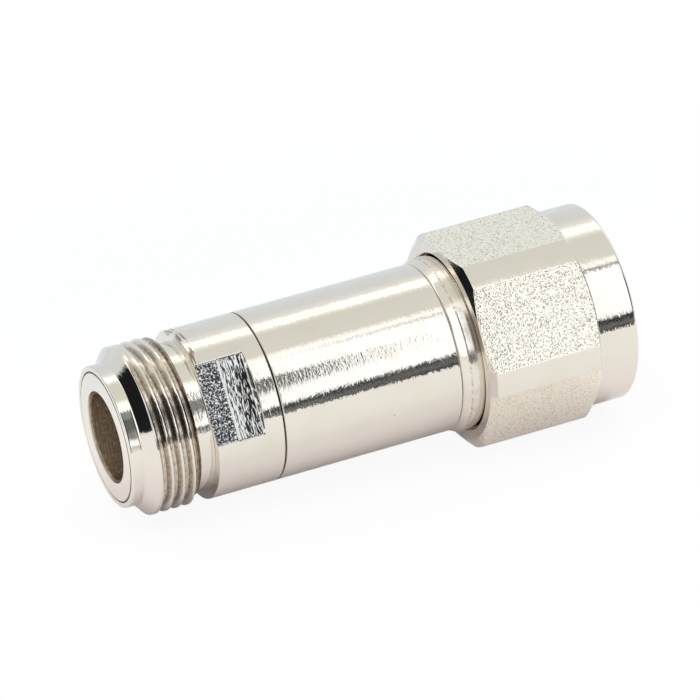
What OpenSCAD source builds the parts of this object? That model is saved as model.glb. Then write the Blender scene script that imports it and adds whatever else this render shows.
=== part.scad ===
// Coaxial fixed attenuator with a threaded jack at one end and a plug with a coupling nut at the other.
// The axis runs along X, the jack faces -X and the plug faces +X. The origin is the middle of the
// whole length, on the axis, and one flat of the nut faces down.

/* [Body] */
// Outside diameter of the tube and of the jack's collar
body_d = 16; // [15:0.1:19]
// Length of the tube between its two seams
tube_len = 17.75; // [14:0.05:30]
// Wall of the tube
tube_wall = 1; // [0.6:0.05:1.4]
// Reach of each end piece into the tube
spigot_len = 4; // [3:0.1:5]
// Broken edge on both sides of a seam
seam_chamfer = 0.12; // [0.05:0.01:0.3]
// Gap on the radius between pieces that are pressed or screwed together
fit_gap = 0.02; // [0.01:0.005:0.05]

/* [Coupling thread] */
// Outside diameter of the thread that both ends share
thread_d = 15.875; // [15:0.005:17]
// Depth of the thread on the radius
thread_depth = 0.57; // [0.4:0.01:0.7]
// Pitch of the thread, whose turns are cut as rings
thread_pitch = 1.058; // [1:0.001:1.2]
// Flat left on the thread's crests
crest_w = 0.2; // [0.15:0.01:0.25]
// Flat left at the thread's roots
root_w = 0.26; // [0.2:0.01:0.3]

/* [Jack shell] */
// Length of the thread on the jack
jack_thread_len = 4.1; // [3:0.1:8]
// Length of the plain nose in front of the thread
nose_len = 1.2; // [0.6:0.1:3]
// Step on the radius from the thread down to the nose
nose_step = 1.24; // [0.8:0.01:1.4]
// Length of the cone between the nose and the thread
nose_cone_len = 1; // [0.5:0.1:2]
// Wall of the nose around the sleeve
nose_wall = 0.5; // [0.3:0.05:0.8]
// Rounding of the nose's front rim
nose_round = 0.25; // [0.1:0.05:0.4]
// Length of the groove behind the thread
relief_len = 1.6; // [0.8:0.1:3]
// Step on the radius from the thread down to the groove
relief_step = 0.98; // [0.7:0.01:1.2]
// Length of the collar
collar_len = 6.6; // [4:0.1:12]
// Depth of each spanner flat below the collar
flat_depth = 1; // [0.5:0.05:1.5]
// Length of the full round left between the flats and the tube
flat_stop_len = 1.9; // [1:0.1:3]
// Turn of the spanner flats about the axis, in degrees up from level
flat_turn = 32.7; // [0:0.1:90]

/* [Jack inside] */
// Bore that takes the plug's outer contact
jack_bore_d = 8.12; // [7.6:0.01:9]
// Depth of that bore, down to the seat
jack_bore_depth = 9.1; // [8:0.1:10]
// Rounding of the bore's mouth
jack_lip_round = 0.4; // [0.2:0.05:0.6]
// Gap on the radius between the sleeve and the shell, which shows as a ring on the face
sleeve_gap = 0.06; // [0.02:0.01:0.1]
// Depth of the socket contact behind the jack's face
socket_depth = 4; // [3:0.1:6]
// Hole in the socket contact
socket_bore_d = 1.7; // [1.6:0.01:2]
// Depth of the hole in the socket contact
socket_bore_depth = 5; // [4:0.1:6]
// Width of the slits in the socket contact
socket_slit = 0.25; // [0.15:0.01:0.4]
// Length of the slits in the socket contact
socket_slit_len = 4.4; // [3:0.1:5]

/* [Coaxial line] */
// Inside diameter of the outer conductor
line_d = 7; // [6.4:0.05:7.4]
// Diameter of the centre conductor
conductor_d = 3.04; // [2.6:0.01:3.4]
// Diameter of the necks that the beads sit on
neck_d = 2.3; // [1.8:0.05:2.5]
// Diameter of the insulating beads
bead_d = 9.2; // [8:0.1:9.6]
// Thickness of the insulating beads
bead_len = 2.2; // [1.5:0.1:3]
// How far the jack's bead starts ahead of its seam
jack_bead_lead = 1.5; // [1:0.1:2]
// How far the plug's bead starts ahead of its seam
plug_bead_lead = 0.75; // [0.3:0.05:1.5]

/* [Attenuator chip] */
// Width of the ceramic plate
chip_w = 8; // [7.6:0.1:10]
// Thickness of the ceramic plate
chip_t = 0.635; // [0.4:0.005:1]
// Reach of the forked contact tails over the plate
chip_grip = 1.2; // [0.8:0.1:2]
// Gap between the plate's ends and the pieces at both sides
chip_end_gap = 0.05; // [0.02:0.01:0.1]

/* [Plug] */
// Rise on the radius from the tube to the ring behind the nut
flange_rise = 0.35; // [0.1:0.01:0.6]
// Length of the flare up to that ring
flange_cone_len = 0.76; // [0.4:0.02:1.5]
// Length of the plug body ahead of the tube
flange_len = 5.45; // [5:0.05:8]
// Outside diameter of the outer contact
contact_d = 8.04; // [7.6:0.01:8.1]
// Reach of the outer contact past the gasket
contact_reach = 8.8; // [8:0.1:9.8]
// Diameter of the outer contact's foot in the plug body
contact_foot_d = 10.4; // [9.8:0.1:11]
// Step on the radius from the outer contact to the boss inside the gasket
contact_boss_step = 0.58; // [0.4:0.02:0.9]
// Number of saw cuts across the outer contact
contact_cuts = 3; // [2:1:4]
// Width of the slits in the outer contact
contact_slit = 0.35; // [0.2:0.01:0.5]
// Length of the slits in the outer contact
contact_slit_len = 6.3; // [4:0.1:7]
// Turn of the saw cuts about the axis, in degrees
contact_turn = 22.5; // [0:0.5:60]
// Diameter of the centre pin
pin_d = 1.65; // [1.5:0.01:1.7]
// Length of the centre pin ahead of its shoulder
pin_len = 5.1; // [4:0.1:6]
// Depth of the pin's tip behind the outer contact's front
pin_set_back = 0.2; // [0.1:0.05:1]
// Length of the pin's tapered tip
pin_tip_len = 0.7; // [0.4:0.05:1.2]
// Flat left at the pin's tip
pin_tip_d = 0.5; // [0.3:0.05:0.8]
// Outside diameter of the gasket
gasket_d = 14; // [12:0.1:14.4]
// Thickness of the gasket
gasket_t = 1.2; // [0.8:0.1:1.6]
// Height of the gasket above the boss inside it
gasket_proud = 0.4; // [0.2:0.05:0.6]
// Gap on the radius between the gasket and its boss
gasket_gap = 0.05; // [0.02:0.01:0.1]

/* [Coupling nut] */
// Distance from the tube's seam to the nut's rear face
nut_set_back = 2; // [1.6:0.05:2.4]
// Length of the nut
nut_len = 15.4; // [14.5:0.1:20]
// Length of the hexagonal part
hex_len = 11.5; // [9:0.1:13]
// Least wall between the nut's flats and its inner groove or thread
nut_wall = 0.475; // [0.4:0.005:2]
// Rise on the radius from the flats to the turned corners
corner_rise = 0.825; // [0.4:0.005:1.2]
// Length of the cones at both ends of the corners
corner_cone_len = 0.5; // [0.3:0.05:1]
// Step on the radius from the flats down to the round front ring
front_step = 0.075; // [0.03:0.005:0.3]
// Broken edges of the front ring
front_chamfer = 0.2; // [0.1:0.05:0.4]
// Running gap on the radius between the plug body and the nut's rear bore
nut_play = 0.15; // [0.1:0.01:0.3]
// Broken edge of the nut's rear bore
rear_chamfer = 0.4; // [0.2:0.05:0.6]
// Length of the nut's wide rear bore
nut_bore_len = 6.2; // [5.6:0.1:7.5]
// Depth of the plain mouth in front of the nut's thread
mouth_depth = 1.15; // [0.6:0.05:2]
// Gap on the radius between the jack's thread and the plain mouth
mouth_gap = 0.16; // [0.1:0.01:0.3]

/* [Snap ring] */
// Thickness of the snap ring along the axis
ring_t = 0.8; // [0.5:0.05:1]
// Width of the snap ring on the radius
ring_w = 1.05; // [0.8:0.05:1.1]
// Reach of the snap ring into the nut
ring_bite = 0.35; // [0.2:0.05:0.5]
// Opening between the snap ring's ends
ring_split = 3; // [1:0.1:5]
// Distance from the nut's rear face to the snap ring
ring_set_back = 1.45; // [1.1:0.05:1.6]
// Gap between the snap ring and the walls of the nut's groove
ring_gap = 0.05; // [0.03:0.01:0.1]
// Gap on the radius between the snap ring and the floor of the nut's groove
ring_floor_gap = 0.2; // [0.1:0.01:0.3]
// Travel of the nut along the axis, each way
nut_float = 0.2; // [0.1:0.05:0.3]

/* [Hidden] */
$fn = 96;

// Overshoot of a cut past the face that it opens
past = 1;

// Radii of the body
body_r = body_d / 2;
tube_bore_r = body_r - tube_wall;
spigot_r = tube_bore_r - fit_gap;

// Radii of the jack
thread_r = thread_d / 2;
nose_r = thread_r - nose_step;
relief_r = thread_r - relief_step;
shell_bore_r = nose_r - nose_wall;
sleeve_r = shell_bore_r - sleeve_gap;
jack_bore_r = jack_bore_d / 2;

// Radii of the coaxial line
line_r = line_d / 2;
conductor_r = conductor_d / 2;
neck_r = neck_d / 2;
bead_r = bead_d / 2;
bead_pocket_r = bead_r + fit_gap;

// Radii of the plug
flange_r = body_r + flange_rise;
contact_r = contact_d / 2;
contact_foot_r = contact_foot_d / 2;
contact_pocket_r = contact_foot_r + fit_gap;
boss_r = contact_r + contact_boss_step;
gasket_bore_r = boss_r + gasket_gap;

// Radii of the snap ring and the nut
nut_bore_r = flange_r + nut_play;
ring_r = nut_bore_r + ring_bite;
ring_bore_r = ring_r - ring_w;
ring_groove_r = flange_r - ring_w - nut_play;
nut_groove_r = ring_r + ring_floor_gap;
nut_thread_r = thread_r - thread_depth;
mouth_r = thread_r + mouth_gap;
flat_r = max(nut_groove_r, mouth_r) + nut_wall;
corner_r = flat_r + corner_rise;
front_r = flat_r - front_step;

// Places along the axis, from the jack's face to the nut's front
jack_len = nose_len + nose_cone_len + jack_thread_len + relief_len + collar_len;
overall_len = jack_len + tube_len + nut_set_back + nut_len;
jack_x = -overall_len / 2;
nose_x = jack_x + nose_len;
thread_x = nose_x + nose_cone_len;
relief_x = thread_x + jack_thread_len;
collar_x = relief_x + relief_len;
seam_x = collar_x + collar_len;
plug_seam_x = seam_x + tube_len;
nut_x = plug_seam_x + nut_set_back;
nut_front_x = nut_x + nut_len;
hex_end_x = nut_x + hex_len;
jack_spigot_x = seam_x + spigot_len;
plug_spigot_x = plug_seam_x - spigot_len;
jack_bead_x = seam_x - jack_bead_lead;
jack_bead_end_x = jack_bead_x + bead_len;
plug_bead_x = plug_seam_x - plug_bead_lead;
plug_bead_end_x = plug_bead_x + bead_len;
flange_x = plug_seam_x + flange_cone_len;
flange_end_x = plug_seam_x + flange_len;
gasket_end_x = flange_end_x + gasket_t;
contact_end_x = gasket_end_x + contact_reach;
pin_end_x = contact_end_x - pin_set_back;
pin_shoulder_x = pin_end_x - pin_len;
chip_x = jack_spigot_x + chip_end_gap;
chip_end_x = plug_spigot_x - chip_end_gap;
socket_x = jack_x + socket_depth;
ring_x = nut_x + ring_set_back;
nut_bore_end_x = nut_x + nut_bore_len;
mouth_x = nut_front_x - mouth_depth;

// Turns a section about the X axis. The section's x is the radius and its y is the place along X.
module turned() {
    rotate([0, 90, 0])
        rotate_extrude()
            children();
}

// Section of a straight stretch from radius r0 to r1
module band(x0, x1, r0, r1) {
    translate([r0, x0])
        square([r1 - r0, x1 - x0]);
}

// Section of a solid cone from radius r0 at x0 to r1 at x1
module cone(x0, r0, x1, r1) {
    polygon([[0, x0], [r0, x0], [r1, x1], [0, x1]]);
}

// Section of a solid thread from x0 to x1, with ring grooves from radius crest_r to root_r set in the
// middle of its length
module thread_rings(x0, x1, crest_r, root_r) {
    turns = floor((x1 - x0 + crest_w) / thread_pitch);
    groove_w = thread_pitch - crest_w;
    first_x = (x0 + x1 - turns * thread_pitch + crest_w) / 2;
    polygon([
        [0, x0],
        [crest_r, x0],
        for (turn = [0 : turns - 1])
            for (corner = [[crest_r, 0], [root_r, (groove_w - root_w) / 2],
                    [root_r, (groove_w + root_w) / 2], [crest_r, groove_w]])
                [corner[0], first_x + turn * thread_pitch + corner[1]],
        [crest_r, x1],
        [0, x1]
    ]);
}

// What a rounding of radius f takes off the outer front corner at radius r and place x
module outer_front_corner(r, x, f) {
    difference() {
        band(x - past, x + f, r - f, r + past);
        translate([r - f, x + f])
            circle(f);
    }
}

// What a rounding of radius f takes off the inner front corner at radius r and place x
module inner_front_corner(r, x, f) {
    difference() {
        band(x - past, x + f, 0, r + f);
        translate([r + f, x + f])
            circle(f);
    }
}

// Cut that runs right across the axis, from x0 to x1 with the given width
module cross_cut(x0, x1, width, turn) {
    rotate([turn, 0, 0])
        translate([x0, -body_r, -width / 2])
            cube([x1 - x0, 2 * body_r, width]);
}

// Slot in a forked tail that takes the chip
module chip_slot(x0, x1) {
    cross_cut(x0, x1, chip_t + 2 * fit_gap, 0);
}

// Two flats that a spanner grips, cut into the collar from its front
module spanner_flats() {
    for (side = [0, 180])
        rotate([side - flat_turn, 0, 0])
            translate([collar_x - past, -2 * body_r, -body_r])
                cube([collar_len - flat_stop_len + past, body_r + flat_depth, 2 * body_r]);
}

module jack_shell() {
    color([0.80, 0.78, 0.73])
        difference() {
            turned()
                difference() {
                    union() {
                        band(jack_x, nose_x, 0, nose_r);
                        cone(nose_x, nose_r, thread_x, thread_r);
                        thread_rings(thread_x, relief_x, thread_r, nut_thread_r);
                        band(relief_x, collar_x, 0, relief_r);
                        band(collar_x, seam_x - seam_chamfer, 0, body_r);
                        cone(seam_x - seam_chamfer, body_r, seam_x, body_r - seam_chamfer);
                        band(seam_x, jack_spigot_x, 0, spigot_r);
                    }
                    band(jack_x - past, jack_bead_x, 0, shell_bore_r);
                    band(jack_bead_x - past, jack_bead_end_x, 0, bead_pocket_r);
                    band(jack_bead_end_x - past, jack_spigot_x + past, 0, line_r);
                    outer_front_corner(nose_r, jack_x, nose_round);
                }
            spanner_flats();
        }
}

module jack_sleeve() {
    color([0.82, 0.80, 0.77])
        turned()
            difference() {
                band(jack_x, jack_bead_x, 0, sleeve_r);
                band(jack_x - past, jack_x + jack_bore_depth, 0, jack_bore_r);
                band(jack_x, jack_bead_x + past, 0, line_r);
                inner_front_corner(jack_bore_r, jack_x, jack_lip_round);
            }
}

module jack_contact() {
    tail_x = chip_x + chip_grip;
    color([0.86, 0.69, 0.33])
        difference() {
            turned()
                difference() {
                    union() {
                        band(socket_x, jack_bead_x, 0, conductor_r);
                        band(jack_bead_x, jack_bead_end_x, 0, neck_r);
                        band(jack_bead_end_x, tail_x, 0, conductor_r);
                    }
                    band(socket_x - past, socket_x + socket_bore_depth, 0, socket_bore_d / 2);
                }
            for (turn = [45, 135])
                cross_cut(socket_x - past, socket_x + socket_slit_len, socket_slit, turn);
            chip_slot(chip_x - chip_end_gap, tail_x + past);
        }
}

module jack_bead() {
    color([0.95, 0.95, 0.93])
        turned()
            band(jack_bead_x, jack_bead_end_x, neck_r + fit_gap, bead_r);
}

module body_tube() {
    color([0.80, 0.78, 0.73])
        turned()
            difference() {
                union() {
                    cone(seam_x, body_r - seam_chamfer, seam_x + seam_chamfer, body_r);
                    band(seam_x + seam_chamfer, plug_seam_x - seam_chamfer, 0, body_r);
                    cone(plug_seam_x - seam_chamfer, body_r, plug_seam_x, body_r - seam_chamfer);
                }
                band(seam_x - past, plug_seam_x + past, 0, tube_bore_r);
            }
}

module attenuator_chip() {
    color([0.93, 0.92, 0.88])
        translate([chip_x, -chip_w / 2, -chip_t / 2])
            cube([chip_end_x - chip_x, chip_w, chip_t]);
}

// Half of the round block that clamps the chip, on the upper side
module chip_carrier() {
    pocket_w = chip_w + 2 * fit_gap;
    pocket_t = chip_t + 2 * fit_gap;
    difference() {
        turned()
            band(jack_spigot_x, plug_spigot_x, line_r, spigot_r);
        translate([jack_spigot_x - past, -body_r, -body_d])
            cube([chip_end_x - chip_x + 2 * past + 2 * chip_end_gap, 2 * body_r, body_d]);
        translate([jack_spigot_x - past, -pocket_w / 2, -pocket_t / 2])
            cube([chip_end_x - chip_x + 2 * past + 2 * chip_end_gap, pocket_w, pocket_t]);
    }
}

module chip_carrier_upper() {
    color([0.83, 0.72, 0.45])
        chip_carrier();
}

module chip_carrier_lower() {
    color([0.83, 0.72, 0.45])
        mirror([0, 0, 1])
            chip_carrier();
}

module plug_body() {
    groove_gap = ring_gap + nut_float;
    color([0.80, 0.78, 0.73])
        turned()
            difference() {
                union() {
                    band(plug_spigot_x, plug_seam_x, 0, spigot_r);
                    cone(plug_seam_x, body_r - seam_chamfer, plug_seam_x + seam_chamfer, body_r);
                    cone(plug_seam_x + seam_chamfer, body_r, flange_x, flange_r);
                    band(flange_x, flange_end_x, 0, flange_r);
                }
                band(ring_x - groove_gap, ring_x + ring_t + groove_gap, ring_groove_r, flange_r + past);
                band(plug_spigot_x - past, plug_bead_x + past, 0, line_r);
                band(plug_bead_x, plug_bead_end_x + past, 0, bead_pocket_r);
                band(plug_bead_end_x, flange_end_x + past, 0, contact_pocket_r);
            }
}

module plug_bead() {
    color([0.95, 0.95, 0.93])
        turned()
            band(plug_bead_x, plug_bead_end_x, neck_r + fit_gap, bead_r);
}

module plug_pin() {
    tail_x = chip_end_x - chip_grip;
    tip_x = pin_end_x - pin_tip_len;
    color([0.86, 0.69, 0.33])
        difference() {
            turned() {
                band(tail_x, plug_bead_x, 0, conductor_r);
                band(plug_bead_x, plug_bead_end_x, 0, neck_r);
                band(plug_bead_end_x, pin_shoulder_x, 0, conductor_r);
                band(pin_shoulder_x, tip_x, 0, pin_d / 2);
                cone(tip_x, pin_d / 2, pin_end_x, pin_tip_d / 2);
            }
            chip_slot(tail_x - past, chip_end_x + chip_end_gap);
        }
}

module plug_outer_contact() {
    color([0.82, 0.80, 0.77])
        difference() {
            turned()
                difference() {
                    union() {
                        band(plug_bead_end_x, flange_end_x, 0, contact_foot_r);
                        band(flange_end_x, gasket_end_x - gasket_proud, 0, boss_r);
                        band(gasket_end_x - gasket_proud, contact_end_x, 0, contact_r);
                    }
                    band(plug_bead_end_x - past, contact_end_x + past, 0, line_r);
                }
            for (cut = [0 : contact_cuts - 1])
                cross_cut(contact_end_x - contact_slit_len, contact_end_x + past, contact_slit,
                    contact_turn + cut * 180 / contact_cuts);
        }
}

module gasket() {
    color([0.80, 0.33, 0.18])
        turned()
            band(flange_end_x, gasket_end_x, gasket_bore_r, gasket_d / 2);
}

module retaining_ring() {
    color([0.78, 0.66, 0.36])
        difference() {
            turned()
                band(ring_x, ring_x + ring_t, ring_bore_r, ring_r);
            translate([ring_x - past, -ring_split / 2, 0])
                cube([ring_t + 2 * past, ring_split, ring_r + past]);
        }
}

// Hexagonal part of the nut, with its corners turned round and coned at both ends
module hex_part() {
    face_r = flat_r - front_step;
    intersection() {
        translate([nut_x, 0, 0])
            rotate([0, 90, 0])
                rotate([0, 0, 30])
                    cylinder(h = hex_len + past, r = flat_r / cos(30), $fn = 6);
        turned() {
            cone(nut_x, face_r, nut_x + corner_cone_len, corner_r);
            band(nut_x + corner_cone_len, hex_end_x - corner_cone_len, 0, corner_r);
            cone(hex_end_x - corner_cone_len, corner_r, hex_end_x, face_r);
        }
    }
}

module coupling_nut() {
    color([0.80, 0.78, 0.73])
        difference() {
            union() {
                hex_part();
                turned() {
                    band(hex_end_x - past, nut_front_x - front_chamfer, 0, front_r);
                    cone(nut_front_x - front_chamfer, front_r, nut_front_x, front_r - front_chamfer);
                }
            }
            turned() {
                cone(nut_x - past, nut_bore_r + rear_chamfer + past, nut_x + rear_chamfer, nut_bore_r);
                band(nut_x - past, nut_bore_end_x, 0, nut_bore_r);
                band(ring_x - ring_gap, ring_x + ring_t + ring_gap, 0, nut_groove_r);
                thread_rings(nut_bore_end_x, mouth_x, nut_thread_r, thread_r);
                band(mouth_x, nut_front_x + past, 0, mouth_r);
            }
        }
}

jack_shell();
jack_sleeve();
jack_contact();
jack_bead();
body_tube();
attenuator_chip();
chip_carrier_upper();
chip_carrier_lower();
plug_body();
plug_bead();
plug_pin();
plug_outer_contact();
gasket();
retaining_ring();
coupling_nut();
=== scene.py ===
import math

import bmesh
import bpy
import numpy as np
from mathutils import Matrix, Vector


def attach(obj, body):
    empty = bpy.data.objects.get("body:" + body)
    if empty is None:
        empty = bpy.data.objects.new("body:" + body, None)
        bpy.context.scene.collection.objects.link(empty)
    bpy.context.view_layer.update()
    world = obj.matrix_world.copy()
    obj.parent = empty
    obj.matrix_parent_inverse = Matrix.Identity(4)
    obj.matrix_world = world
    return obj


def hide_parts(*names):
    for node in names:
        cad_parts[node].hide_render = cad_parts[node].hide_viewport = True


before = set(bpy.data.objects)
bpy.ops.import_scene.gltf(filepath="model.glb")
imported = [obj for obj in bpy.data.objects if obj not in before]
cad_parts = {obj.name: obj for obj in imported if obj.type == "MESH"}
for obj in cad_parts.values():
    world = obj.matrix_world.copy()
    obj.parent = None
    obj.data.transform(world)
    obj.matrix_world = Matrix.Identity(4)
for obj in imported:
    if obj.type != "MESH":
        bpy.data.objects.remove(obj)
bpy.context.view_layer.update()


# Jack shell: the outer body of the female end, turned from brass bar and nickel plated.
# The coupling thread is cut on its front, two spanner flats are milled into its collar, and its
# spigot is pressed into the tube.
MM = 0.001
BODY_R = 8.0
JACK_FACE = -24.825
NOSE_END = -23.625
NOSE_R = 6.6975
SHELL_BORE_R = 6.1975
THREAD_FRONT = -22.625
THREAD_REAR = -18.525
THREAD_LAST_ROW = -18.53
THREAD_CHAMFER_AT = -18.84
THREAD_CHAMFER_ROWS = [-18.86, -18.82, -18.70, -18.60]
THREAD_R = 7.9375
THREAD_ROOT_R = 7.3675
THREAD_PITCH = 25.4 / 24
THREAD_CREST_AT = -22.60
THREAD_CREST_TURN = 30
THREAD_FADE = 60
THREAD_START = 98
CREST_HALF = 0.09
ROOT_EDGE = 0.375
RELIEF_R = 6.9575
COLLAR_FRONT = -16.925
FLAT_TURN = 32.7
FLAT_HALF_TURN = 28.955
FLAT_R = 7.0
FLAT_STEP = 0.03
FLAT_STEP_AT = -14.72
FLAT_END = -12.225
JACK_SEAM = -10.325
SEAM_BEVEL = 0.12
SPIGOT_R = 6.98
JACK_SPIGOT_END = -6.325
JACK_BEAD_SEAT = -9.625
BEAD_SEAT_R = 4.62
LINE_R = 3.5
SLEEVE_END = -11.825


class Shade:
    """One output of a shader node. Arithmetic on it adds Math nodes to the same tree."""

    def __init__(self, tree, socket=None):
        self.tree, self.socket = tree, socket

    def node(self, kind, inputs=(), output=0, stops=None, **settings):
        """Adds a node with these settings, then sets or links its sockets."""
        made = self.tree.nodes.new("ShaderNode" + kind)
        for key, value in settings.items():
            setattr(made, key, value)
        if stops:
            ramp = made.color_ramp.elements
            while len(ramp) < len(stops):
                ramp.new(0.5)
            for element, (place, colour) in zip(ramp, stops):
                element.position, element.color = place, colour
        for key, value in dict(inputs).items():
            if isinstance(value, Shade):
                self.tree.links.new(value.socket, made.inputs[key])
            else:
                made.inputs[key].default_value = value
        return Shade(self.tree, made.outputs[output] if made.outputs else None)

    def math(self, operation, *values):
        """Adds a Math node on these values."""
        return self.node("Math", enumerate(values), operation=operation)

    def __add__(self, other):
        return self.math("ADD", self, other)

    __radd__ = __add__

    def __sub__(self, other):
        return self.math("SUBTRACT", self, other)

    def __rsub__(self, other):
        return self.math("SUBTRACT", other, self)

    def __mul__(self, other):
        return self.math("MULTIPLY", self, other)

    __rmul__ = __mul__

    def __truediv__(self, other):
        return self.math("DIVIDE", self, other)

    def __pow__(self, other):
        return self.math("POWER", self, other)

    def __abs__(self):
        return self.math("ABSOLUTE", self)

    def rise(self, low, high):
        """0 below low, 1 above high, smooth between."""
        ends = {0: self, 1: low, 2: high}
        return self.node("MapRange", ends, interpolation_type="SMOOTHSTEP")

    def near(self, place, reach, fade):
        """1 within reach of place, fading to 0."""
        return 1 - abs(self - place).rise(reach, reach + fade)

    def tint(self, first, second):
        """Colour from first to second as this value goes from 0 to 1."""
        return self.node("Mix", {0: self, 6: first, 7: second}, 2, data_type="RGBA")

    def grain(self, scale, detail=2.0, stretch=(1, 1, 1), warp=0.0):
        """Noise from 0 to 1 on this vector, with scale cells to the millimetre."""
        moved = self.node("VectorMath", {0: self, 1: stretch}, operation="MULTIPLY")
        field = {"Vector": moved, "Scale": scale, "Detail": detail, "Distortion": warp}
        return self.node("TexNoise", field)


class Finish:
    """A material with the coordinates of its piece in mm, ready for one metal or plain shader."""

    def __init__(self, name):
        self.made = bpy.data.materials.new(name)
        self.made.use_nodes = True
        tree = self.made.node_tree
        self.shader = tree.nodes["Principled BSDF"]
        metres = Shade(tree).node("TexCoord", output="Object")
        self.at = metres.node("VectorMath", {0: metres, "Scale": 1000.0}, operation="SCALE")
        self.x, self.y, self.z = (self.at.node("SeparateXYZ", {0: self.at}, k) for k in range(3))
        self.radius = (self.y * self.y + self.z * self.z) ** 0.5

    def set(self, **sockets):
        """Sets or links the shader's sockets by name, and returns the material."""
        for key, value in sockets.items():
            socket = self.shader.inputs[key.replace("_", " ")]
            if isinstance(value, Shade):
                value.tree.links.new(value.socket, socket)
            else:
                socket.default_value = value
        return self.made

    def bumps(self, height, depth_um):
        """Normal from a height of 0 to 1 that stands for depth_um micrometres."""
        sockets = {"Height": height, "Distance": depth_um * 1e-6, "Strength": 1.0}
        return height.node("Bump", sockets)

    def combed(self, normal, share):
        """Tilts a normal to and fro round the axis, in fine lines that run round the piece."""
        hairs = (self.at.grain(9.0, 1.0, (1.0, 0.25, 0.25)) - 0.5) * share
        around = normal.node("Tangent", direction_type="RADIAL", axis="X")
        tilt = around.node("VectorMath", {0: around, "Scale": hairs}, operation="SCALE")
        tilted = tilt.node("VectorMath", {0: normal, 1: tilt}, operation="ADD")
        return tilted.node("VectorMath", {0: tilted}, operation="NORMALIZE")


NICKEL = (0.80, 0.752, 0.68, 1)
NICKEL_WARM = (0.76, 0.69, 0.59, 1)
# Dark dirt for pits and grooves, also used as the painted shade of the gap round the jack sleeve.
GRIME_AND_GAP_SHADE = (0.055, 0.035, 0.02, 1)
BROWN = (0.13, 0.08, 0.04, 1)


def plated(name, rough=0.04, depth=2.5, dirt_and_shade=None, dirt_and_shade_colour=GRIME_AND_GAP_SHADE, waves=0.5):
    """Bright nickel plate over turned brass: slight waves, fine ragged grain, faint turning marks, a
    few pits and some tarnish."""
    plate = Finish(name)
    ragged = plate.at.grain(6.0, 1.0, (0.5, 1.0, 1.0))
    marks = plate.at.grain(5.0, 1.0, (1.0, 0.30, 0.30))
    cloud = plate.at.grain(0.35, 3.0)
    pits = 1 - plate.at.grain(2.6, 0.0).rise(0.06, 0.09)
    colour = (cloud.rise(0.45, 0.75) * 0.35).tint(NICKEL, NICKEL_WARM)
    colour = (pits * 0.75).tint(colour, GRIME_AND_GAP_SHADE)
    roughness = rough + 0.05 * cloud + 0.3 * pits
    # The dirt mask, which for the collar also holds painted shade, is tinted in over the plate.
    if dirt_and_shade:
        dirt = dirt_and_shade(plate)
        colour = dirt.tint(colour, dirt_and_shade_colour)
        roughness = roughness + 0.12 * dirt
    uneven = waves * plate.at.grain(1.3, 0.0)
    normal = plate.combed(plate.bumps(ragged + marks - pits + uneven, depth), 0.08)
    return plate.set(Base_Color=colour, Metallic=1.0, Roughness=roughness, Normal=normal)


def seam_dirt(*seams):
    """Dark dirt in the fine grooves at these places along the axis, each (place, reach, share)."""
    def dirt(plate):
        uneven = plate.at.grain(1.4, 2.0)
        marks = [
            plate.x.near(place, reach, 0.09) * (share + 0.2 * uneven)
            for place, reach, share in seams
        ]
        return sum(marks[1:], marks[0])
    return dirt


THREAD_BROWN = (0.22, 0.155, 0.09, 1)


def thread_dirt(plate):
    """Brown dirt that stays in the roots of the thread."""
    broken = plate.at.grain(6.0, 2.0, (1.0, 0.4, 0.4)).rise(0.42, 0.62)
    rear = plate.x.rise(THREAD_CHAMFER_AT - 0.08, THREAD_CHAMFER_AT) * 0.5
    return (1 - plate.radius.rise(7.50, 7.90)) * (0.30 + 0.28 * broken) + rear


# Colours of the spanner flat's painted dark reflection and painted white glints.
PAINTED_DARK_REFLECTION = (0.075, 0.09, 0.105, 1)
PAINTED_DARK_REFLECTION_BROWN = (0.05, 0.043, 0.035, 1)
PAINTED_GLINT_WHITE = (0.96, 0.95, 0.93, 1)


def milled(name):
    """Spanner flat: a painted dark blue-grey reflection, turning brown toward the end, under painted
    white
    glints: specks before the step, the cutter's cross marks behind it, and highlights on the step and
    edge burrs."""
    flat = Finish(name)
    behind = flat.x.rise(FLAT_STEP_AT - 0.02, FLAT_STEP_AT + 0.06)
    fleck_glints = flat.at.grain(6.0, 1.5, warp=1.0).rise(0.52, 0.58)
    strokes = flat.at.grain(11.0, 1.5, (1.0, 0.14, 0.14), warp=0.2)
    toward_end = flat.x.rise(FLAT_STEP_AT, FLAT_END)
    strokes = (strokes - 0.08 * toward_end).rise(0.45, 0.51)
    # Painted highlights: a line along the step, and the edge burrs along the collar and the flat's
    # end.
    step = flat.x.near(FLAT_STEP_AT, 0.09, 0.06)
    burr_highlight = flat.radius.rise(7.91, 7.97) + flat.x.near(FLAT_END - 0.10, 0.03, 0.06)
    painted_glints = fleck_glints * (1 - behind) + strokes * behind + step + burr_highlight
    painted_glints = painted_glints.math("MINIMUM", painted_glints, 1.0)
    # Painted dark reflection: the flat's own colour is a near-black blue-grey, browner toward its end.
    dark_reflection = toward_end.tint(PAINTED_DARK_REFLECTION, PAINTED_DARK_REFLECTION_BROWN)
    return flat.set(
        Base_Color=painted_glints.tint(dark_reflection, PAINTED_GLINT_WHITE),
        Metallic=1 - 0.75 * painted_glints,
        Roughness=0.40 - 0.1 * painted_glints,
        Normal=flat.bumps(painted_glints, 6.0),
    )


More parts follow.
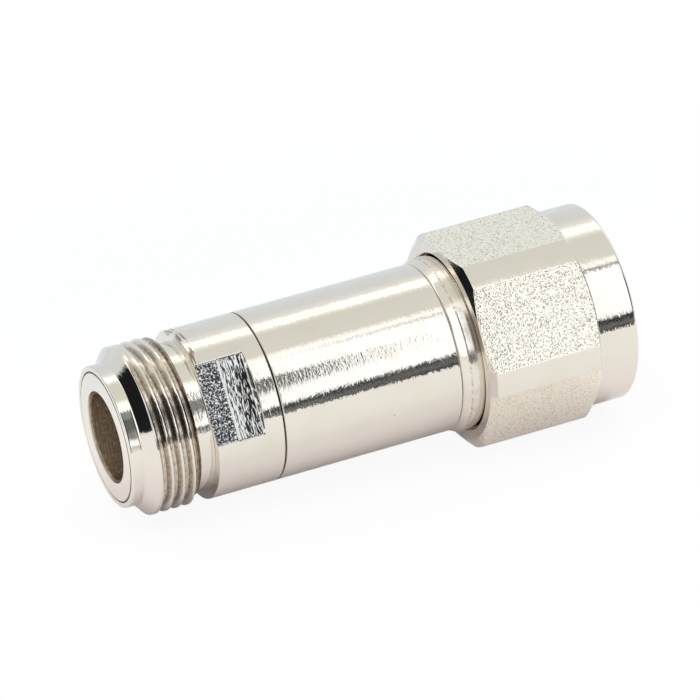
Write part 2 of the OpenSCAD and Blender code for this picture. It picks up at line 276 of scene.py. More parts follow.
def eased(corners, steps=8):
    """Outline of (x, radius) from corners (x, radius, rounding) in mm. Each rounding has one more row
    close to either end, so that the faces beside it stay straight in reflections."""
    spots = np.array([c[:2] for c in corners], float)
    outline = []
    for before, here, after, corner in zip(
        np.roll(spots, 1, 0), spots, np.roll(spots, -1, 0), corners
    ):
        rounding = corner[2] if len(corner) > 2 else 0
        if not rounding:
            outline.append(here)
            continue
        ends, guards = [], []
        for other in (before, after):
            length = max(np.linalg.norm(other - here), 1e-9)
            used = min(rounding / length, 0.45)
            ends.append(here + (other - here) * used)
            guards.append(here + (other - here) * min(used + 0.04 / length, 0.48))
        arc = [
            (1 - t) ** 2 * ends[0] + 2 * t * (1 - t) * here + t * t * ends[1]
            for t in np.linspace(0, 1, steps + 1)
        ]
        outline += [guards[0], *arc, guards[1]]
    return outline


def soft_least(a, b, blend):
    """The lesser of a and b, blended where they meet, so that the edge is broken."""
    h = min(max(0.5 + 0.5 * (b - a) / blend, 0.0), 1.0)
    return b + (a - b) * h - blend * h * (1 - h)


def turned(name, section, finishes, finish_of=None, edges=(), columns=192, start=0.0):
    """Piece whose section(angle) is carried once round the X axis; angles run up from -Y.
    Each of edges gets columns close to it, and finish_of(x, radius, angle) picks a face's finish."""
    marks = np.array([e + d for e in edges for d in (-1.4, -0.7, -0.3, 0, 0.3, 0.7, 1.4)])
    marks = (marks - start) % 360 + start
    evenly = start + np.linspace(0, 360, columns + 1)
    if len(marks):
        inner = evenly[1:-1]
        apart = np.abs(inner[:, None] - marks[None]).min(1)
        evenly = np.concatenate([evenly[:1], inner[apart > 0.5], evenly[-1:]])
    angles = np.sort(np.concatenate([evenly, marks]))
    outlines = np.array([section(a) for a in angles])
    turn = np.radians(angles)[:, None]
    x, radius = outlines[..., 0], outlines[..., 1]
    places = np.stack([x, -radius * np.cos(turn), radius * np.sin(turn)], -1) * MM
    count, length = x.shape
    column, row = np.meshgrid(np.arange(count - 1), np.arange(length), indexing="ij")
    column_on, row_on = column + 1, (row + 1) % length
    corners = [(column, row), (column, row_on), (column_on, row_on), (column_on, row)]
    faces = np.stack([c * length + r for c, r in corners], -1).reshape(-1, 4)
    mesh = bpy.data.meshes.new(name)
    mesh.from_pydata(places.reshape(-1, 3).tolist(), [], faces.tolist())
    form = bmesh.new()
    form.from_mesh(mesh)
    bmesh.ops.remove_doubles(form, verts=form.verts, dist=2e-7)
    bmesh.ops.dissolve_degenerate(form, edges=form.edges, dist=1e-7)
    bmesh.ops.recalc_face_normals(form, faces=form.faces)
    for face in form.faces:
        face.smooth = True
        if finish_of:
            mid = face.calc_center_median() / MM
            angle = math.degrees(math.atan2(mid.z, -mid.y))
            face.material_index = finish_of(mid.x, math.hypot(mid.y, mid.z), angle)
    form.to_mesh(mesh)
    form.free()
    mesh.set_sharp_from_angle(angle=math.radians(20))
    for finish in finishes:
        mesh.materials.append(finish)
    piece = bpy.data.objects.new(name, mesh)
    bpy.context.scene.collection.objects.link(piece)
    return piece


def thread_lift(x, angle, crest_at, cut=1.0):
    """Height of a right-hand thread at a place, from 0 at the root to 1 at the crest.
    Where the tool has only cut part of the depth, the groove is shallower and narrower."""
    along = (x - crest_at) / THREAD_PITCH + (angle - THREAD_CREST_TURN) / 360
    from_crest = abs(along - round(along))
    flank = max((ROOT_EDGE - from_crest) / (ROOT_EDGE - CREST_HALF), 0.0) + 1 - cut
    return soft_least(flank, 1.0, 0.03)


def thread_rows(angle, crest_at, cuts, low, high):
    """Places along the grooves at this angle, close together at the edges of the crests."""
    rows = []
    for groove, cut in enumerate(cuts):
        crest = crest_at + (groove - (angle - THREAD_CREST_TURN) / 360) * THREAD_PITCH
        edge = ROOT_EDGE - (ROOT_EDGE - CREST_HALF) * cut
        spots = ((edge, 0.016), (ROOT_EDGE, 0.010), (1 - ROOT_EDGE, 0.010), (1 - edge, 0.016))
        for place, nearby in spots:
            rows += [crest + (place + off * nearby) * THREAD_PITCH for off in (-1, -0.3, 0.3, 1)]
    return [min(max(row, low), high) for row in rows]


def from_flat(angle):
    """Degrees from the middle of the nearer spanner flat."""
    return (angle - FLAT_TURN + 90) % 180 - 90


def collar_radius(angle, depth):
    """Radius of the collar where a flat is cut to this distance from the axis."""
    off = abs(from_flat(angle))
    return BODY_R if off > 45 else soft_least(BODY_R, depth / math.cos(math.radians(off)), 0.02)


def jack_shell_section(angle):
    """From the face over the nose, thread, relief groove and collar to the spigot, and back inside."""
    run_in = min(max((angle - THREAD_FADE) / (THREAD_START - THREAD_FADE), 0.0), 1.0)
    cuts = [1 - run_in * run_in * (3 - 2 * run_in), 1, 1, 1]
    rows = thread_rows(angle, THREAD_CREST_AT, cuts, THREAD_CREST_AT, THREAD_LAST_ROW)
    thread = []
    for x in sorted(rows + THREAD_CHAMFER_ROWS):
        along = (x - THREAD_CREST_AT) / THREAD_PITCH + (angle - THREAD_CREST_TURN) / 360
        cut = 0.0 if along < 0 else cuts[min(int(along), 3)]
        lift = thread_lift(x, angle, THREAD_CREST_AT, cut)
        radius = THREAD_ROOT_R + (THREAD_R - THREAD_ROOT_R) * lift
        thread.append((x, min(radius, THREAD_R - (x - THREAD_CHAMFER_AT))))
    front_cut = collar_radius(angle, FLAT_R)
    rear_cut = collar_radius(angle, FLAT_R - FLAT_STEP)
    corners = [
        (JACK_FACE, SHELL_BORE_R, 0.06),
        (JACK_FACE, NOSE_R, 0.16),
        (NOSE_END, NOSE_R, 0.12),
        (THREAD_FRONT, THREAD_R, 0.03),
        *thread,
        (THREAD_REAR, thread[-1][1] - 0.02, 0.03),
        (THREAD_REAR, RELIEF_R, 0.12),
        (COLLAR_FRONT, RELIEF_R, 0.12),
        (COLLAR_FRONT, front_cut, 0.08),
        (FLAT_STEP_AT - 0.04, front_cut, 0.03),
        (FLAT_STEP_AT + 0.04, rear_cut, 0.03),
        (FLAT_END, rear_cut, 0.10),
        (FLAT_END, BODY_R, 0.05),
        (JACK_SEAM - SEAM_BEVEL, BODY_R, 0.04),
        (JACK_SEAM, BODY_R - SEAM_BEVEL, 0.03),
        (JACK_SEAM, SPIGOT_R),
        (JACK_SPIGOT_END, SPIGOT_R),
        (JACK_SPIGOT_END, LINE_R),
        (JACK_BEAD_SEAT, LINE_R),
        (JACK_BEAD_SEAT, BEAD_SEAT_R),
        (SLEEVE_END, BEAD_SEAT_R),
        (SLEEVE_END, SHELL_BORE_R),
    ]
    return eased(corners)


SHELL_PLATE, SHELL_THREAD, SHELL_FLAT, SHELL_NOSE = range(4)


def jack_shell_finish(x, radius, angle):
    """Which of the shell's finishes the face at this place has."""
    thread_skin = THREAD_FRONT - 0.075
    if thread_skin < x < THREAD_REAR - 0.015 and radius > RELIEF_R + 0.1425:
        return SHELL_THREAD
    if x < thread_skin and radius > NOSE_R - 0.0975:
        return SHELL_NOSE
    beside_edges = abs(from_flat(angle)) < FLAT_HALF_TURN - 0.655
    on_collar = COLLAR_FRONT + 0.025 < x < FLAT_END + 0.02
    if beside_edges and on_collar and FLAT_R - 0.1 < radius < BODY_R - 0.02:
        return SHELL_FLAT
    return SHELL_PLATE


def seam_dirt_and_collar_shade(plate):
    """Dirt in the seam, and fine dark lathe lines round the collar's front edge, painted only along
    its top as painted shade there.
    """
    lines = plate.at.grain(4.5, 1.0, (1.0, 0.12, 0.12)).rise(0.48, 0.58)
    # Painted shade: the lines are kept to the top of the collar's front edge.
    lines = lines * plate.x.near(COLLAR_FRONT + 0.305, 0.25, 0.15) * plate.z.rise(6.85, 7.15)
    return seam_dirt((JACK_SEAM, 0.06, 0.80))(plate) + 0.75 * lines


flat_edges = [
    FLAT_TURN + side + edge for side in (0, 180) for edge in (-FLAT_HALF_TURN, FLAT_HALF_TURN)
]
jack_shell = turned(
    "jack_shell_plated",
    jack_shell_section,
    [
        plated("jack_shell_nickel", dirt_and_shade=seam_dirt_and_collar_shade, dirt_and_shade_colour=BROWN),
        plated("jack_thread_nickel", 0.05, 3.0, thread_dirt, THREAD_BROWN),
        milled("spanner_flat_nickel"),
        plated("jack_nose_nickel", depth=0.05, waves=10.0),
    ],
    jack_shell_finish,
    flat_edges,
    start=THREAD_START - 360,
)
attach(jack_shell, "housing")
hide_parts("jack_shell")


# Jack sleeve: the outer conductor inside the shell, turned and plated. It is pushed in from the
# front, leaves a fine ring on the face, and its rounded mouth takes the plug's outer contact.
SLEEVE_BORE_R = 4.06
SLEEVE_R = 6.1375
SLEEVE_STEP_AT = -15.725
# Painted shade and light in the bore: a darker and a lighter brown over its tarnish, light specks, and
# a dark lip.
BORE_SHADE = (0.12, 0.08, 0.05, 1)
BORE_LIT_BROWN = (0.33, 0.225, 0.14, 1)
BORE_SPECK_GLINT = (0.58, 0.46, 0.34, 1)
LIP_PAINTED_SHADE = (0.06, 0.042, 0.03, 1)


def sleeve_plate(name):
    """Bright plate on the face, brown speckled tarnish in the bore with painted light on the middle of
    its far wall and painted shade at its ends and on the near lip, and a dark ring painted round the
    outside as the gap's shade.
    """
    plate = Finish(name)
    ragged = plate.at.grain(4.5, 2.0)
    # Painted light and shade: the far wall's middle is painted lighter brown with light specks, its
    # ends darker, and the lip dark except on the far side.
    painted_light_far_wall = (plate.y * 0.212 - plate.z * 0.125).rise(0.10, 0.95)
    lip = plate.radius.rise(4.10, 4.22)
    bore = (1 - plate.radius.rise(4.34, 4.39)) * (1 - 0.8 * lip * painted_light_far_wall)
    specks = plate.at.grain(8.0, 2.0, (1.0, 0.35, 0.35)).rise(0.45, 0.75) * painted_light_far_wall
    brown = painted_light_far_wall.tint(BORE_SHADE, BORE_LIT_BROWN)
    tarnish = specks.tint(brown, BORE_SPECK_GLINT)
    tarnish = lip.tint(tarnish, LIP_PAINTED_SHADE)
    colour = bore.tint(NICKEL, tarnish)
    # Painted shade: a dark ring is painted round the sleeve's outer edge, as the shade of the gap to
    # the shell.
    colour = (plate.radius.rise(5.99, 6.06) * 0.9).tint(colour, GRIME_AND_GAP_SHADE)
    return plate.set(
        Base_Color=colour,
        Metallic=1 - bore * (0.55 + 0.45 * lip),
        Roughness=0.07 + bore * (0.18 + 0.3 * lip),
        Specular_IOR_Level=0.15,
        Normal=plate.bumps(ragged, 9.0),
    )


def jack_sleeve_section(angle):
    """The same all round: rounded mouth, face, outside, and the step inside that ends the bore."""
    corners = [
        (JACK_FACE, SLEEVE_BORE_R, 0.34),
        (JACK_FACE, SLEEVE_R, 0.06),
        (SLEEVE_END, SLEEVE_R, 0.05),
        (SLEEVE_END, LINE_R),
        (SLEEVE_STEP_AT, LINE_R, 0.05),
        (SLEEVE_STEP_AT, SLEEVE_BORE_R, 0.05),
    ]
    return eased(corners)


jack_sleeve = turned("jack_sleeve_plated", jack_sleeve_section, [sleeve_plate("jack_sleeve_plate")])
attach(jack_sleeve, "housing")
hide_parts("jack_sleeve")


# Jack contact and its bead: a slit socket turned from spring bronze and gold plated, held on the
# axis by a white fluoroplastic disc that sits on its neck.
def gilded(name):
    """Gold plate over fine lathe marks."""
    gold = Finish(name)
    lathe = gold.at.grain(9.0, 2.0, (1.0, 0.15, 0.15))
    cloud = gold.at.grain(0.9, 3.0)
    colour = cloud.rise(0.35, 0.7).tint((0.80, 0.56, 0.22, 1), (0.88, 0.67, 0.32, 1))
    normal = gold.bumps(lathe, 2.0)
    return gold.set(Base_Color=colour, Metallic=1.0, Roughness=0.16 + 0.1 * cloud, Normal=normal)


def fluoroplastic(name):
    """Waxy white plastic with faint lathe marks."""
    white = Finish(name)
    lathe = white.at.grain(6.0, 2.0, (1.0, 0.3, 0.3))
    cloud = white.at.grain(0.8, 3.0)
    colour = cloud.rise(0.3, 0.7).tint((0.80, 0.80, 0.77, 1), (0.88, 0.88, 0.86, 1))
    normal = white.bumps(lathe, 5.0)
    return white.set(Base_Color=colour, Roughness=0.38 + 0.15 * cloud, Normal=normal)


def dress(node, finish):
    """Puts a finish on a node that keeps the solid's mesh."""
    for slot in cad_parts[node].material_slots:
        slot.material = finish


dress("jack_contact", gilded("jack_contact_gold"))
dress("jack_bead", fluoroplastic("jack_bead_white"))


# Attenuator chip and its carriers: a lapped alumina plate with a dark resistive film down its
# middle, clamped between two milled brass half rounds that fill the tube.
FILM_HALF = 1.2


def filmed_ceramic(name):
    """Lapped white ceramic with the dark film down its middle."""
    plate = Finish(name)
    speck = plate.at.grain(7.0, 3.0)
    film = plate.y.near(0.0, FILM_HALF, 0.05)
    white = speck.rise(0.3, 0.7).tint((0.80, 0.79, 0.74, 1), (0.86, 0.85, 0.81, 1))
    colour = film.tint(white, (0.06, 0.06, 0.065, 1))
    normal = plate.bumps(speck, 4.0)
    return plate.set(Base_Color=colour, Roughness=0.45 + 0.2 * speck, Normal=normal)


def milled_brass(name):
    """Bare brass with the cutter's strokes along it."""
    brass = Finish(name)
    strokes = brass.at.grain(5.0, 2.0, (0.2, 1.0, 1.0))
    cloud = brass.at.grain(0.6, 3.0)
    colour = cloud.rise(0.35, 0.7).tint((0.72, 0.52, 0.23, 1), (0.82, 0.64, 0.34, 1))
    normal = brass.bumps(strokes, 4.0)
    return brass.set(Base_Color=colour, Metallic=1.0, Roughness=0.25 + 0.15 * cloud, Normal=normal)


carrier_brass = milled_brass("chip_carrier_brass")
dress("attenuator_chip", filmed_ceramic("attenuator_chip_ceramic"))
dress("chip_carrier_upper", carrier_brass)
dress("chip_carrier_lower", carrier_brass)


# Body tube: the plain sleeve between the two ends, turned from brass bar and nickel plated.
# Both ends are pressed into it, and fine chamfered seams show where they meet.
PLUG_SEAM = 7.425
TUBE_BORE_R = 7.0
TUBE_ROWS = (-6.0, -1.5, 3.0)


def body_tube_section(angle):
    """The same all round: plain outside between two bevelled ends, with a few rows along it."""
    corners = [
        (JACK_SEAM, TUBE_BORE_R),
        (JACK_SEAM, BODY_R - SEAM_BEVEL, 0.03),
        (JACK_SEAM + SEAM_BEVEL, BODY_R, 0.05),
        *[(x, BODY_R) for x in TUBE_ROWS],
        (PLUG_SEAM - SEAM_BEVEL, BODY_R, 0.05),
        (PLUG_SEAM, BODY_R - SEAM_BEVEL, 0.03),
        (PLUG_SEAM, TUBE_BORE_R),
    ]
    return eased(corners)


tube_dirt = seam_dirt((JACK_SEAM, 0.05, 0.80), (PLUG_SEAM, 0.01, 0.20))
tube_plate = plated("body_tube_nickel", dirt_and_shade=tube_dirt, dirt_and_shade_colour=BROWN)
body_tube = turned("body_tube_plated", body_tube_section, [tube_plate])
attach(body_tube, "housing")
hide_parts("body_tube")


# Plug body: the male end's body, turned and nickel plated. It flares out behind the nut, holds the
# snap ring in a groove, and the plate is worn down to copper along the edge that the nut rubs.
FLANGE_X = 8.185
FLANGE_R = 8.35
PLUG_SPIGOT_END = 3.425
GROOVE_REAR = 10.625
GROOVE_FRONT = 11.925
GROOVE_R = 7.15
PLUG_FACE = 12.875
CONTACT_SEAT = 8.875
CONTACT_SEAT_R = 5.22
PLUG_BEAD_SEAT = 6.675
COPPER = (0.58, 0.34, 0.20, 1)


def worn_plate(name):
    """Nickel plate with a broken copper line on the flare, and dirt where the nut rubs."""
    worn = Finish(name)
    ragged = worn.at.grain(6.0, 1.0, (0.5, 1.0, 1.0))
    cloud = worn.at.grain(0.5, 3.0)
    broken = worn.at.grain(3.0, 3.0, (0.4, 1.0, 1.0)).rise(0.34, 0.62)
    copper = worn.x.near(FLANGE_X + 0.04, 0.04, 0.11) * broken
    smear = (0.03 + 0.10 * worn.at.grain(1.2, 3.0).rise(0.40, 0.65)) * worn.x.rise(8.25, 8.6)
    smear = smear * (1 - 0.8 * worn.x.rise(9.10, 9.30))
    rub = worn.x.rise(8.82, 9.02) * worn.z.near(4.2, 1.2, 0.9)
    dirt = 0.45 * worn.x.near(PLUG_SEAM, 0.02, 0.06) + smear + 0.65 * rub
    colour = (cloud.rise(0.45, 0.75) * 0.35).tint(NICKEL, NICKEL_WARM)
    colour = (copper * 0.75).tint(colour, COPPER)
    colour = dirt.tint(colour, BROWN)
    normal = worn.combed(worn.bumps(ragged, 2.5), 0.08)
    roughness = 0.08 + 0.05 * cloud + 0.2 * copper + 0.5 * dirt
    return worn.set(Base_Color=colour, Metallic=1.0, Roughness=roughness, Normal=normal)


def plug_body_section(angle):
    """The same all round: spigot, seam, flare, snap ring groove and face, and back inside."""
    corners = [
        (PLUG_SPIGOT_END, LINE_R),
        (PLUG_SPIGOT_END, SPIGOT_R),
        (PLUG_SEAM, SPIGOT_R),
        (PLUG_SEAM, BODY_R - SEAM_BEVEL, 0.03),
        (PLUG_SEAM + SEAM_BEVEL, BODY_R, 0.05),
        (FLANGE_X, FLANGE_R, 0.10),
        (GROOVE_REAR, FLANGE_R, 0.05),
        (GROOVE_REAR, GROOVE_R),
        (GROOVE_FRONT, GROOVE_R),
        (GROOVE_FRONT, FLANGE_R, 0.05),
        (PLUG_FACE, FLANGE_R, 0.10),
        (PLUG_FACE, CONTACT_SEAT_R),
        (CONTACT_SEAT, CONTACT_SEAT_R),
        (CONTACT_SEAT, BEAD_SEAT_R),
        (PLUG_BEAD_SEAT, BEAD_SEAT_R),
        (PLUG_BEAD_SEAT, LINE_R),
    ]
    return eased(corners)


plug_body = turned("plug_body_plated", plug_body_section, [worn_plate("plug_body_nickel")])
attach(plug_body, "housing")
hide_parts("plug_body")


# Plug bead, pin and outer contact: the white disc carries the gold plated pin on the axis, and the
# slit spring tube around them is plated bronze with its foot seated in the plug body.
dress("plug_bead", fluoroplastic("plug_bead_white"))
dress("plug_pin", gilded("plug_pin_gold"))
dress("plug_outer_contact", plated("plug_outer_contact_plate", rough=0.12, depth=2.0))


# Gasket: a moulded silicone ring that lies round the foot of the outer contact and seals against
# the face of the mating jack.
GASKET_FRONT = 14.075
GASKET_BORE_R = 4.65
GASKET_R = 7.0


def silicone(name):
    """Dull red rubber with a little dust."""
    rubber = Finish(name)
    speck = rubber.at.grain(4.0, 3.0)
    dust = rubber.at.grain(1.2, 3.0)
    colour = dust.rise(0.35, 0.75).tint((0.50, 0.085, 0.03, 1), (0.60, 0.14, 0.06, 1))
    normal = rubber.bumps(speck, 8.0)
    return rubber.set(Base_Color=colour, Roughness=0.45 + 0.2 * dust, Normal=normal)


def gasket_section(angle):
    """The same all round: a flat ring with full corners at its free face."""
    corners = [
        (PLUG_FACE, GASKET_BORE_R, 0.15),
        (PLUG_FACE, GASKET_R, 0.25),
        (GASKET_FRONT, GASKET_R, 0.40),
        (GASKET_FRONT, GASKET_BORE_R, 0.40),
    ]
    return eased(corners, 6)


gasket = turned("gasket_ring", gasket_section, [silicone("gasket_silicone")])
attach(gasket, "housing")
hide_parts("gasket")


# Retaining ring: a split ring of spring bronze that snaps into the plug body's groove and holds the
# nut while letting it turn and shift a little.
def spring_bronze(name):
    """Bare bronze with strokes that run round it."""
    bronze = Finish(name)
    strokes = bronze.at.grain(5.0, 2.0, (1.0, 0.2, 0.2))
    cloud = bronze.at.grain(0.7, 3.0)
    colour = cloud.rise(0.35, 0.7).tint((0.58, 0.37, 0.17, 1), (0.70, 0.50, 0.26, 1))
    normal = bronze.bumps(strokes, 3.0)
    return bronze.set(Base_Color=colour, Metallic=1.0, Roughness=0.28 + 0.1 * cloud, Normal=normal)


dress("retaining_ring", spring_bronze("retaining_ring_bronze"))


# Coupling nut: turned from hexagonal brass bar, with coned corners, a round front ring and the
# coupling thread inside. The bar's own pebbled skin stays on the six flats under the plate.
NUT_REAR = 9.425
NUT_FRONT = 24.825
HEX_FRONT = 20.925
HEX_FLAT_R = 9.525
HEX_CORNER_R = 10.35
NUT_RING_R = 9.45
NUT_CONE_SLOPE = 0.5 / 0.9
NUT_MOUTH = 23.675
NUT_MOUTH_R = 8.0975
NUT_THREAD_END = 15.625
NUT_TURNS = 9
NUT_LEAD_SLOPE = 1.2
NUT_LEAD_ROWS = [23.07, 23.3, 23.5]
NUT_BORE_R = 8.5
NUT_REAR_BEVEL = 0.12
NUT_GROOVE_REAR = 10.825
NUT_GROOVE_FRONT = 11.725
NUT_GROOVE_R = 9.05
HEX_HALF_TURN = 23.03
PIT_SHADE_BROWN = (0.24, 0.17, 0.10, 1)


def pebbled(name):
    """Bar skin on the flats: small rounded pits and pebbles, plated over, with painted shade that
    follows their height, lighter on the pebbles and darker brown in the pits.
    """
    skin = Finish(name)
    pebble = skin.at.grain(7.5, 0.5)
    cloud = skin.at.grain(0.5, 2.0)
    pits = 1 - pebble.rise(0.33, 0.40)
    # Painted shade: the colour follows the pebbles' height, lighter on their tops and darker brown in
    # the pits.
    shade = pebble.rise(0.30, 0.70).tint((0.88, 0.83, 0.71, 1), (1.0, 0.945, 0.815, 1))
    return skin.set(
        Base_Color=(pits * 0.45).tint(shade, PIT_SHADE_BROWN),
        Metallic=1.0,
        Roughness=0.09 + 0.05 * cloud,
        Normal=skin.bumps(pebble, 13.5),
    )


def nut_thread_dirt(plate):
    """Dirt in the roots of the nut's thread."""
    return plate.radius.rise(7.5, 7.95) * 0.5


def coupling_nut_section(angle):
    """Over the coned hexagon and the front ring, and back through the thread and the ring's groove."""
    off = math.radians(angle % 60 - 30)
    top = min(HEX_FLAT_R / math.cos(off), HEX_CORNER_R)
    cone = (top - NUT_RING_R) * NUT_CONE_SLOPE
    ends = (NUT_THREAD_END + 0.02, NUT_MOUTH - 0.02)
    rows = thread_rows(angle, NUT_THREAD_END, [1] * NUT_TURNS, *ends)
    thread = []
    for x in sorted(rows + NUT_LEAD_ROWS, reverse=True):
        lift = thread_lift(x, angle, NUT_THREAD_END)
        radius = THREAD_ROOT_R + (THREAD_R - THREAD_ROOT_R) * (1 - lift)
        thread.append((x, max(radius, NUT_MOUTH_R - NUT_LEAD_SLOPE * (NUT_MOUTH - x))))
    corners = [
        (NUT_REAR, NUT_BORE_R + NUT_REAR_BEVEL, 0.03),
        (NUT_REAR, NUT_RING_R, 0.05),
        (NUT_REAR + cone, top, 0.06),
        (HEX_FRONT - cone, top, 0.03),
        (HEX_FRONT, NUT_RING_R, 0.02),
        (NUT_FRONT - 0.2, NUT_RING_R, 0.10),
        (NUT_FRONT, NUT_RING_R - 0.2, 0.10),
        (NUT_FRONT, NUT_MOUTH_R, 0.10),
        (NUT_MOUTH, NUT_MOUTH_R, 0.05),
        *thread,
        (NUT_THREAD_END, NUT_BORE_R),
        (NUT_GROOVE_FRONT, NUT_BORE_R),
        (NUT_GROOVE_FRONT, NUT_GROOVE_R),
        (NUT_GROOVE_REAR, NUT_GROOVE_R),
        (NUT_GROOVE_REAR, NUT_BORE_R),
        (NUT_REAR + NUT_REAR_BEVEL, NUT_BORE_R, 0.03),
    ]
    return eased(corners)


NUT_PLATE, NUT_FLAT, NUT_THREAD = range(3)


def coupling_nut_finish(x, radius, angle):
    """Which of the nut's finishes the face at this place has."""
    if radius < NUT_MOUTH_R - 0.0475 and x < NUT_MOUTH:
        return NUT_THREAD
    beside_edges = abs(angle % 60 - 30) < HEX_HALF_TURN - 0.43
    if beside_edges and NUT_REAR < x < HEX_FRONT and radius > HEX_FLAT_R - 0.025:
        return NUT_FLAT
    return NUT_PLATE


hex_edges = [60 * k + 30 + edge for k in range(6) for edge in (-HEX_HALF_TURN, HEX_HALF_TURN)]
coupling_nut = turned(
    "coupling_nut_plated",
    coupling_nut_section,
    [
        plated("coupling_nut_nickel"),
        pebbled("coupling_nut_flats"),
        plated("nut_thread_nickel", rough=0.12, depth=3.0, dirt_and_shade=nut_thread_dirt),
    ],
    coupling_nut_finish,
    hex_edges,
    columns=180,
)
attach(coupling_nut, "coupling_nut")
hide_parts("coupling_nut")


# Table: a white sheet that the part lies on, touching it at the nut's lower flat and at the thread,
# so it is tilted a little in the part's own frame.
NUT_FOOT = 9.47
TABLE_TILT = math.atan2(HEX_FLAT_R - THREAD_R, NUT_FOOT - THREAD_FRONT)
TABLE_OUTLINE = [
    (-0.16, -0.25), (0.074, -0.25), (0.051, -0.105), (0.9, -0.105), (0.9, 1.2), (-0.16, 1.2)
]
PAPER = (0.90, 0.895, 0.885, 1)
PAPER_FIBRE = (0.92, 0.915, 0.905, 1)
# Painted shade colours for the table: bluish behind the part and mauve under it.
PAPER_BEHIND_PAINTED_SHADE = (0.72, 0.77, 0.84, 1)
PAPER_UNDER_PAINTED_SHADOW = (0.96, 0.91, 0.925, 1)

table_mesh = bpy.data.meshes.new("table")
table_corners = [(x, y, 0) for x, y in TABLE_OUTLINE]
table_mesh.from_pydata(table_corners, [], [list(range(len(table_corners)))])
table = bpy.data.objects.new("table", table_mesh)
table.location = (NUT_FOOT * MM, 0, -HEX_FLAT_R * MM)
table.rotation_euler = (0, TABLE_TILT, 0)
bpy.context.scene.collection.objects.link(table)

paper = bpy.data.materials.new("table_paper")
paper.use_nodes = True
tree = paper.node_tree
tree.nodes.clear()
ray = Shade(tree)
seen = ray.node("LightPath", output="Is Camera Ray")
spot = ray.node("TexCoord", output="Object")
reach = spot.node("VectorMath", {0: spot}, "Value", operation="LENGTH")
fibre = spot.grain(900.0, 3.0)
white = fibre.tint(PAPER, PAPER_FIBRE)
depth = spot.node("SeparateXYZ", {0: spot}, 1)
# Painted shade: the table behind the part is painted darker and bluish, and a strip under the part's
# axis is painted mauve as its shadow; the metal shows both in its reflections.
white = depth.rise(0.004, 0.05).tint(white, PAPER_BEHIND_PAINTED_SHADE)
white = depth.near(0.0, 0.004, 0.016).tint(white, PAPER_UNDER_PAINTED_SHADOW)
matt = ray.node("BsdfDiffuse", {"Color": white})
glow = ray.node("Emission", {"Color": (1, 1, 1, 1), "Strength": 1.0})
share = 0.07 + seen * (0.85 + 0.08 * reach.rise(0.04, 0.10))
blend = ray.node("MixShader", {0: share, 1: matt, 2: glow})
ray.node("OutputMaterial", {"Surface": blend})
table_mesh.materials.append(paper)


# Light: a white studio room, as the plated metal shows it. Long panels run along the part, with a
# dark gap at the front, a grey ceiling, dark flags at the left, and a bluish wall behind.
world = bpy.data.worlds.new("studio")
bpy.context.scene.world = world
world.use_nodes = True
tree = world.node_tree
tree.nodes.clear()
ray = Shade(tree)
way = ray.node("TexCoord", output="Generated")
way_x, way_y, way_z = (ray.node("SeparateXYZ", {0: way}, k) for k in range(3))
lift = way_z.math("ARCTAN2", way_z, way_y * -1) * (180 / math.pi)
lift = lift.math("WRAP", lift, 270.0, -90.0)
PANELS = [
    (-90, (0.10, 0.10, 0.11)),
    (-1.5, (0.05, 0.052, 0.055)),
    (-0.5, (0.20, 0.205, 0.215)),
    (4, (0.15, 0.155, 0.165)),
    (6.5, (0.025, 0.027, 0.03)),
    (10, (0.010, 0.011, 0.013)),
    (12, (1.36, 1.40, 1.46)),
    (70, (1.36, 1.40, 1.46)),
    (77, (1.28, 1.29, 1.28)),
    (81, (0.85, 0.86, 0.82)),
    (112, (0.81, 0.835, 0.80)),
    (118, (1.00, 1.02, 0.96)),
    (121, (1.55, 1.52, 1.46)),
    (131, (1.50, 1.47, 1.42)),
    (135, (0.98, 1.00, 1.00)),
    (147, (0.81, 0.845, 0.87)),
    (170, (0.785, 0.83, 0.875)),
    (190, (0.86, 0.91, 0.98)),
    (270, (0.86, 0.91, 0.98)),
]
WHITE_SHEET = (0.95, 0.93, 0.91, 1)
FLAG_DARK = (0.025, 0.03, 0.03, 1)
SLIT_DARK = (0.08, 0.06, 0.045, 1)
CORNER_DARK = (0.03, 0.025, 0.02, 1)
SIDE_DARK = (0.012, 0.014, 0.015, 1)

# The panels lie a little askew: higher toward the nut's ring and the jack's nose than along the tube.
ring = way_x.rise(0.340, 0.362)
nose = 1 - way_x.rise(0.2790, 0.2815)
skew = 3.8 - 6.2 * way_x.rise(0.285, 0.342) + 2.4 * ring + 4 * nose
skew = skew * (1 - lift.rise(20, 40)) + 4.6 * ring
room = lift.node(
    "ValToRGB",
    {0: (lift + skew + 90) / 360},
    stops=[((angle + 90) / 360, (*colour, 1)) for angle, colour in PANELS],
)
# A white sheet low at the left, the dark flag above it, and the slit between panel and ceiling.
sheet = (1 - way_x.rise(0.278, 0.292)) * (1 - lift.rise(1.5, 3.5))
low = 29.5 + 250 * (way_x - 0.297) - 8 * nose
envelope = (lift - low).rise(-3, 3) * (1 - (lift - 48.5 - 13 * nose).rise(-2, 2))
flag = envelope * (1 - way_x.rise(0.310, 0.315)) * way_x.rise(-0.25, -0.05)
flag = flag * (0.45 + 0.55 * way_x.math("MAXIMUM", nose, way_x.rise(0.287, 0.291)))
slit = (lift + skew).near(70, 1.2, 1.0) * (0.5 * way_x.rise(0.305, 0.330) + 0.5 * ring)
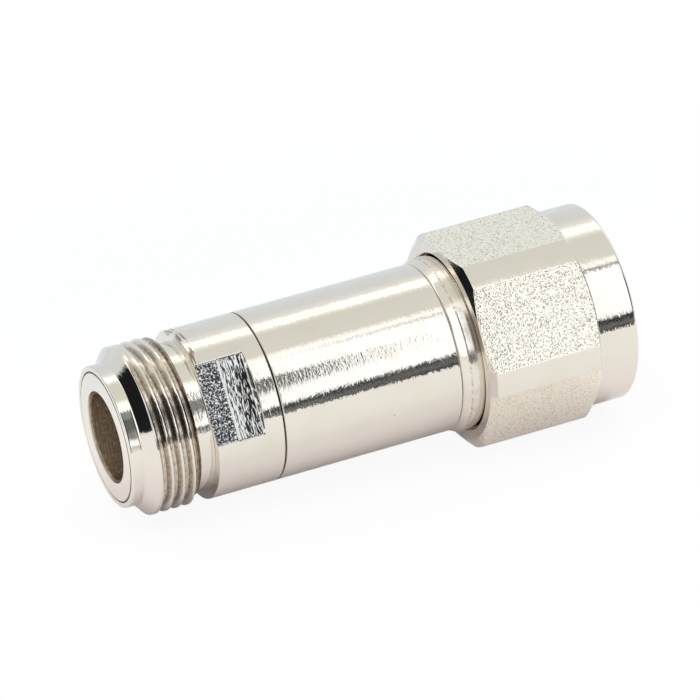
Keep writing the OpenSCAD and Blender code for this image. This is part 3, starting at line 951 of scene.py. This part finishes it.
# Dark corner and doorway at the right, and the dark side of the room beyond the jack.
corner = way_x.rise(0.55, 0.61) * lift.near(38, 38, 6)
beyond = way_x.rise(0.42, 0.46) * lift.near(30, 18, 6)
side = (1 - way_x.rise(-0.73, -0.65)) * way_y.rise(-0.25, -0.15) * (1 - way_z.rise(0.42, 0.50))
room = sheet.tint(room, WHITE_SHEET)
room = flag.tint(room, FLAG_DARK)
room = (slit * 0.9).tint(room, SLIT_DARK)
room = (corner * 0.97).tint(room, CORNER_DARK)
room = (beyond * 0.95).tint(room, CORNER_DARK)
room = side.tint(room, SIDE_DARK)
seen = ray.node("LightPath", output="Is Camera Ray")
colour = seen.tint(room, (1, 1, 1, 1))
sky = ray.node("Background", {"Color": colour, "Strength": 1.0})
ray.node("OutputWorld", {"Surface": sky})

lamp_data = bpy.data.lights.new("overhead", "AREA")
lamp_data.size = 0.5
lamp_data.energy = 1.2
lamp = bpy.data.objects.new("overhead", lamp_data)
lamp.location = (0.05, -0.15, 0.6)
lamp.rotation_euler = (Vector((0, 0, 0)) - lamp.location).to_track_quat("-Z", "Y").to_euler()
lamp.visible_glossy = False
bpy.context.scene.collection.objects.link(lamp)
bpy.context.scene.view_settings.view_transform = "Standard"


# Camera: at the photograph's angle, from the front left and above, with the axis rising to the
# right across the picture.
FRAME_PX = 700
FOCAL_PX = 5000
SENSOR_MM = 36.0
CAMERA_ROLL = math.radians(15.6)
CAMERA_OFF = (9.036, 4.264, 460.16)
back = Vector((-0.3185, -0.8172, 0.4804)).normalized()
along = (Vector((1, 0, 0)) - back.x * back).normalized()
across = back.cross(along)
right = math.cos(CAMERA_ROLL) * along - math.sin(CAMERA_ROLL) * across
up = math.sin(CAMERA_ROLL) * along + math.cos(CAMERA_ROLL) * across
camera_data = bpy.data.cameras.new("camera")
camera_data.sensor_width = SENSOR_MM
camera_data.lens = SENSOR_MM * FOCAL_PX / FRAME_PX
camera_data.clip_start, camera_data.clip_end = 0.02, 10.0
camera = bpy.data.objects.new("camera", camera_data)
facing = Matrix((right, up, back)).transposed()
place = Vector((JACK_SEAM, 0, 0)) + facing @ Vector(CAMERA_OFF)
camera.matrix_world = Matrix.Translation(place * MM) @ facing.to_4x4()
bpy.context.scene.collection.objects.link(camera)
bpy.context.scene.camera = camera
